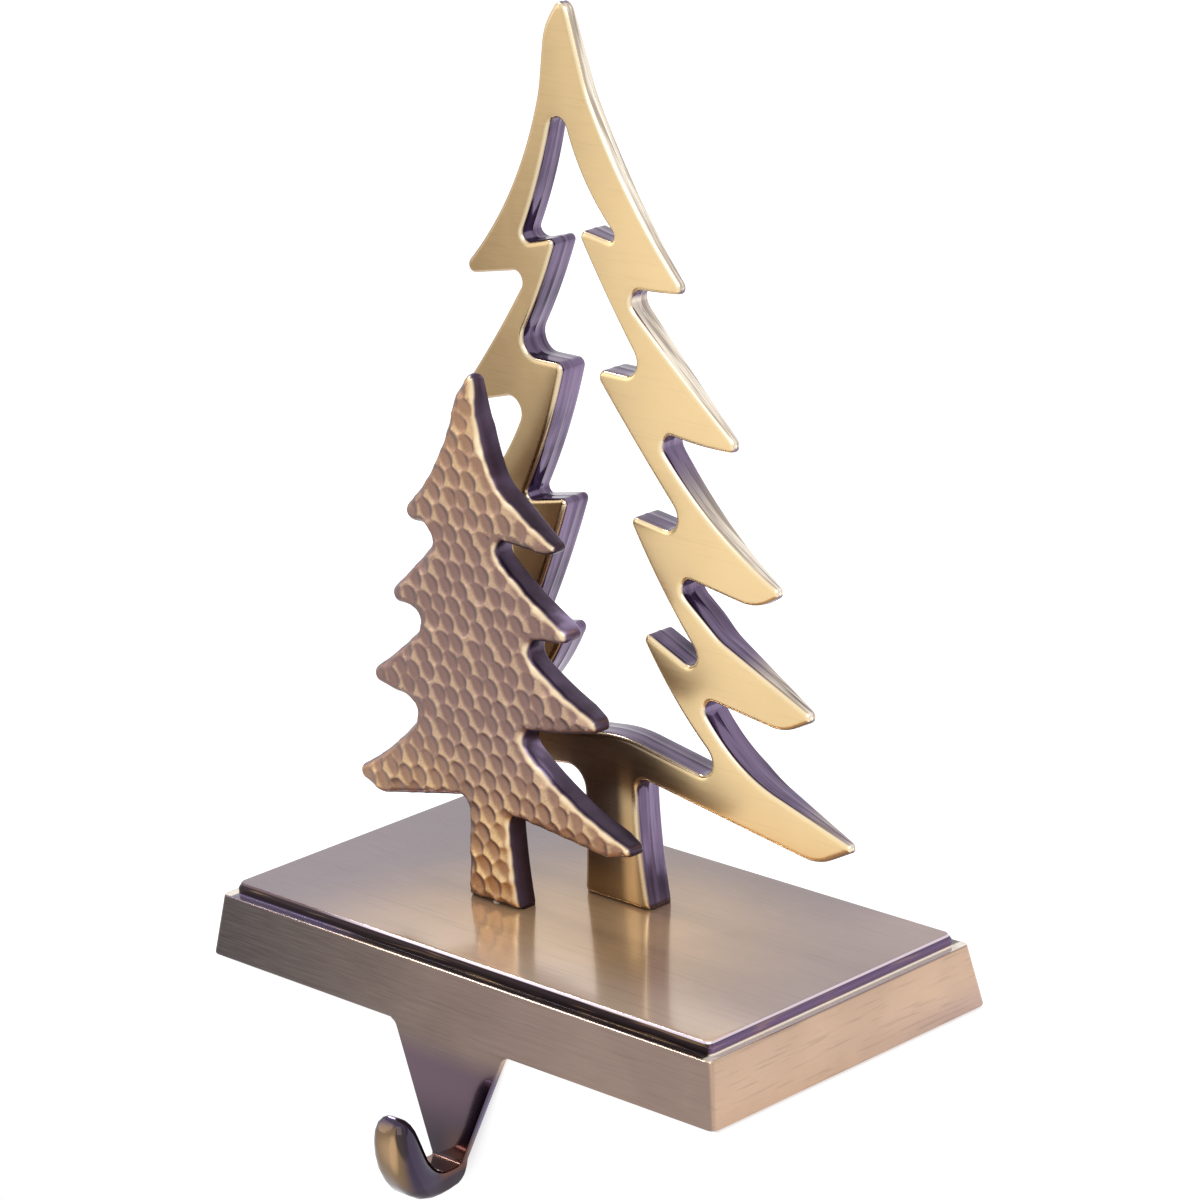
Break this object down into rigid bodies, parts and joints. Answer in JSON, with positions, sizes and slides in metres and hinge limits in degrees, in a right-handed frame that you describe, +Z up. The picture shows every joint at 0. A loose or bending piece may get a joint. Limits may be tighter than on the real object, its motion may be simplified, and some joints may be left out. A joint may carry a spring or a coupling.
{
  "type": "mantel stocking holder",
  "caption": "Weighted shelf-top holder with a hook hanging from its front edge and two flat fir trees standing on it, an open outline behind a hammered solid one.",
  "frame": {"origin": "middle of the pad's underside, where the holder rests on the shelf", "axes": "+Z up, -Y towards the front and its hook, +X to the right as seen from the front"},
  "size_m": [0.13, 0.0887, 0.2064],
  "materials": {
    "antique_brass": "brushed and lacquered antique brass plate over cast zinc",
    "hammered_bronze": "hammered, darker antique plate over cast zinc",
    "screw_steel": "zinc plated steel",
    "foam_rubber": "matt closed-cell foam rubber"
  },
  "bodies": {
    "root": {"base_casting": "antique_brass", "tall_tree": "antique_brass", "small_tree": "hammered_bronze", "tree_screws": "screw_steel", "mantel_pad": "foam_rubber"}
  },
  "joints": []
}
